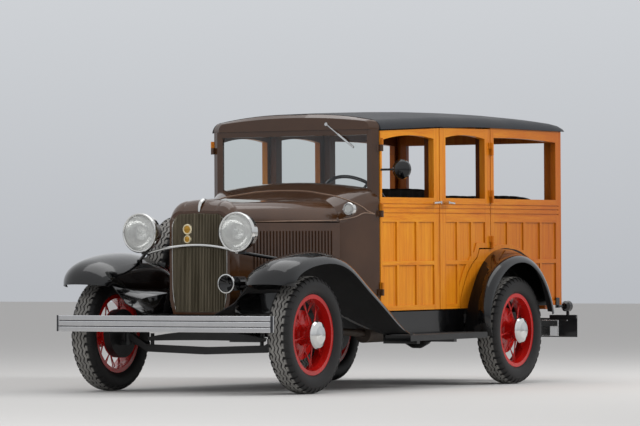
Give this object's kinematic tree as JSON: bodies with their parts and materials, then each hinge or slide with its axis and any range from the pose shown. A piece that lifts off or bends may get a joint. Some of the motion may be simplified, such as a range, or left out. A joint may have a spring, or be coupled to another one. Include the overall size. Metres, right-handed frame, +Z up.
{
  "type": "station wagon",
  "caption": "Early 1930s wooden-bodied station wagon: steel hood and fenders, hinged doors and hood tops, drop tailgate, steered front wheels, wire wheels that roll",
  "frame": {"origin": "on the ground under the middle of the wagon's outline", "axes": "+X to the driver's side (the wagon's left), +Y towards the rear bumper, +Z up"},
  "size_m": [1.7008, 4.2239, 1.8323],
  "materials": {
    "body_brown": "glossy brown enamel",
    "fender_black": "glossy black enamel",
    "frame_black": "satin black",
    "engine_iron": "cast",
    "board_black": "ribbed",
    "grille_grey": "satin",
    "chrome": "polished",
    "lens_glass": "ribbed clear",
    "window_glass": "clear",
    "roof_black": "black coated cloth",
    "floor_wood": "varnished",
    "body_wood": "varnished maple",
    "seat_leather": "dark brown",
    "wheel_black": "polished black",
    "wheel_red": "glossy red enamel",
    "tyre": "black rubber"
  },
  "bodies": {
    "body": {"chassis_frame": "frame_black", "engine_block": "engine_iron", "exhaust": "frame_black", "fuel_tank": "frame_black", "front_fender_left": "fender_black", "front_fender_right": "fender_black", "rear_fenders": "fender_black", "running_boards": "board_black", "hood_side_left": "body_brown", "hood_side_right": "body_brown", "cowl": "body_brown", "radiator_shell": "body_brown", "radiator_grille": "grille_grey", "headlamps": "chrome", "headlamp_lenses": "lens_glass", "headlamp_bar": "chrome", "horn": "fender_black", "front_bumper": "chrome", "rear_bumper": "fender_black", "windshield_frame": "body_brown", "windshield_glass": "window_glass", "roof": "roof_black", "floor": "floor_wood", "side_panel_left": "body_wood", "side_panel_right": "body_wood", "centre_pillars": "body_wood", "tail_sill": "body_wood", "seat_front": "seat_leather", "seat_middle": "seat_leather", "seat_rear": "seat_leather", "steering_column": "frame_black", "dash": "body_brown", "cowl_lamps": "chrome", "tail_lamp": "fender_black", "wiper": "chrome", "spare_wheel": "wheel_red", "spare_tyre": "tyre", "front_axle": "frame_black", "rear_axle": "frame_black"},
    "knuckle_left": {"knuckle_left": "frame_black"},
    "knuckle_right": {"knuckle_right": "frame_black"},
    "wheel_front_left": {"wheel_front_left": "wheel_red", "tyre_front_left": "tyre"},
    "wheel_front_right": {"wheel_front_right": "wheel_red", "tyre_front_right": "tyre"},
    "wheel_rear_left": {"wheel_rear_left": "wheel_red", "tyre_rear_left": "tyre"},
    "wheel_rear_right": {"wheel_rear_right": "wheel_red", "tyre_rear_right": "tyre"},
    "door_front_left": {"door_front_left": "body_wood", "mirror": "fender_black"},
    "door_front_right": {"door_front_right": "body_wood"},
    "door_rear_left": {"door_rear_left": "body_wood"},
    "door_rear_right": {"door_rear_right": "body_wood"},
    "tailgate": {"tailgate": "body_wood"},
    "hood_top_left": {"hood_top_left": "body_brown"},
    "hood_top_right": {"hood_top_right": "body_brown"},
    "steering_wheel": {"steering_wheel": "wheel_black"}
  },
  "joints": [
    {"name": "steer_left", "type": "hinge", "parent": "body", "child": "knuckle_left", "pos_m": [0.58, -1.552, 0.36], "axis": [0, 0, 1], "range_deg": [-28, 28]},
    {"name": "steer_right", "type": "hinge", "parent": "body", "child": "knuckle_right", "pos_m": [-0.58, -1.552, 0.36], "axis": [0, 0, 1], "range_deg": [-28, 28]},
    {"name": "steering_wheel_turn", "type": "hinge", "parent": "body", "child": "steering_wheel", "pos_m": [0.3, -0.21945, 1.21486], "axis": [0, 0.6762, 0.7367], "range_deg": [-310, 310]},
    {"name": "wheel_front_left_spin", "type": "hinge", "parent": "knuckle_left", "child": "wheel_front_left", "pos_m": [0.711, -1.552, 0.36], "axis": [1, 0, 0], "continuous": true},
    {"name": "wheel_front_right_spin", "type": "hinge", "parent": "knuckle_right", "child": "wheel_front_right", "pos_m": [-0.711, -1.552, 0.36], "axis": [1, 0, 0], "continuous": true},
    {"name": "wheel_rear_left_spin", "type": "hinge", "parent": "body", "child": "wheel_rear_left", "pos_m": [0.711, 1.14, 0.36], "axis": [1, 0, 0], "continuous": true},
    {"name": "wheel_rear_right_spin", "type": "hinge", "parent": "body", "child": "wheel_rear_right", "pos_m": [-0.711, 1.14, 0.36], "axis": [1, 0, 0], "continuous": true},
    {"name": "door_front_left_hinge", "type": "hinge", "parent": "body", "child": "door_front_left", "pos_m": [0.637, -0.46858, 1.13702], "axis": [0, 0.0114, -0.9999], "range_deg": [0, 70]},
    {"name": "door_rear_left_hinge", "type": "hinge", "parent": "body", "child": "door_rear_left", "pos_m": [0.674, 0.96933, 1.15341], "axis": [0, -0.0114, 0.9999], "range_deg": [0, 70]},
    {"name": "door_front_right_hinge", "type": "hinge", "parent": "body", "child": "door_front_right", "pos_m": [-0.637, -0.46858, 1.13702], "axis": [0, -0.0114, 0.9999], "range_deg": [0, 70]},
    {"name": "door_rear_right_hinge", "type": "hinge", "parent": "body", "child": "door_rear_right", "pos_m": [-0.674, 0.96933, 1.15341], "axis": [0, 0.0114, -0.9999], "range_deg": [0, 70]},
    {"name": "tailgate_hinge", "type": "hinge", "parent": "body", "child": "tailgate", "pos_m": [0, 2.0373, 0.54754], "axis": [-1, 0, 0], "range_deg": [0, 90]},
    {"name": "hood_left_hinge", "type": "hinge", "parent": "body", "child": "hood_top_left", "pos_m": [0, -1.1543, 1.1962], "axis": [0, -0.9999, -0.0114], "range_deg": [0, 50]},
    {"name": "hood_right_hinge", "type": "hinge", "parent": "body", "child": "hood_top_right", "pos_m": [0, -1.1543, 1.1962], "axis": [0, 0.9999, 0.0114], "range_deg": [0, 50]}
  ],
  "couplings": [
    {"joint": "steer_right", "follows": "steer_left", "ratio": 1},
    {"joint": "steering_wheel_turn", "follows": "steer_left", "ratio": 11}
  ]
}
